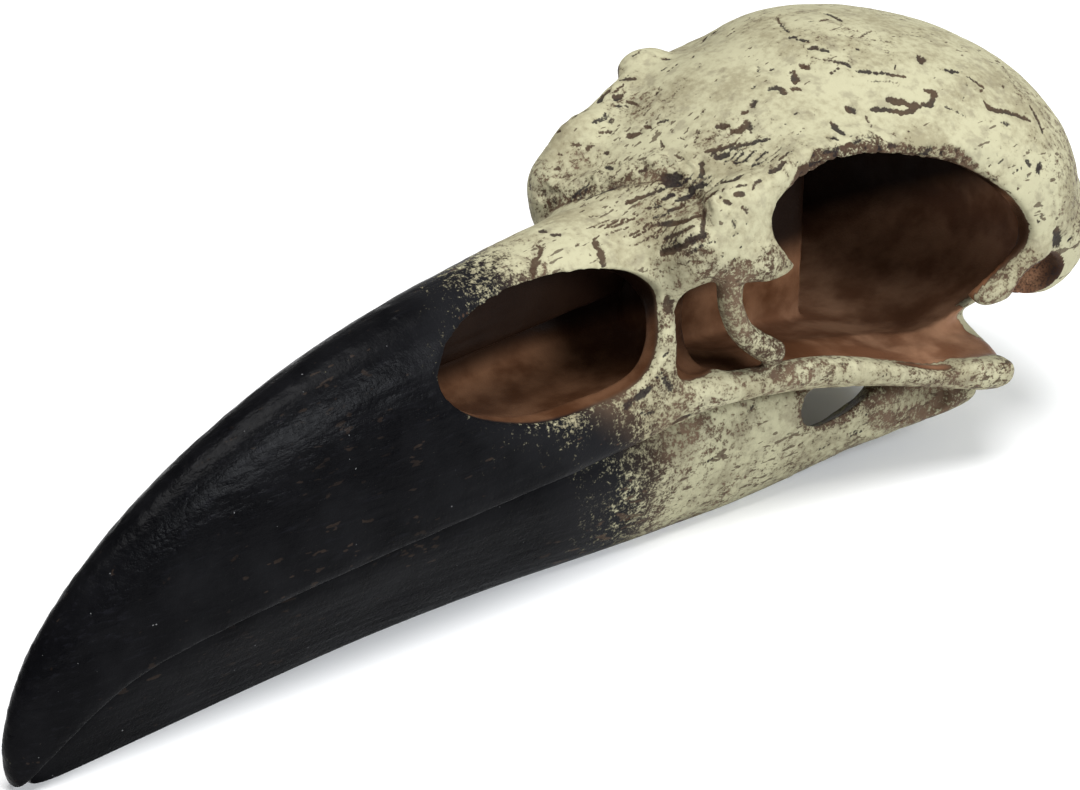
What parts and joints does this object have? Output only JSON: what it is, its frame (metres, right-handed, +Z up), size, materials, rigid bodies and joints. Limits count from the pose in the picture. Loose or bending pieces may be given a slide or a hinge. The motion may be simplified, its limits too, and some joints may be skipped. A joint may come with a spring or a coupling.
{
  "type": "raven skull model",
  "caption": "Cast resin raven skull with its lower jaw, a display figure painted as old bone with a black bill, lying on its jaw.",
  "frame": {"origin": "middle of the bounding box's underside, on the surface it rests on", "axes": "+X runs from the bill's tip to the back of the head, +Y to the skull's right side, +Z up"},
  "size_m": [0.2036, 0.0725, 0.0701],
  "materials": {
    "bill_paint": "satin black paint on resin, worn to bone colour at its rear",
    "jaw_paint": "satin black paint in front, dry-brushed bone colour over brown behind",
    "bone_paint": "cream paint dry-brushed over dark brown"
  },
  "bodies": {
    "root": {"upper_bill": "bill_paint", "lower_jaw": "jaw_paint", "cranium": "bone_paint", "cheek_bar_left": "bone_paint", "cheek_bar_right": "bone_paint"}
  },
  "joints": []
}
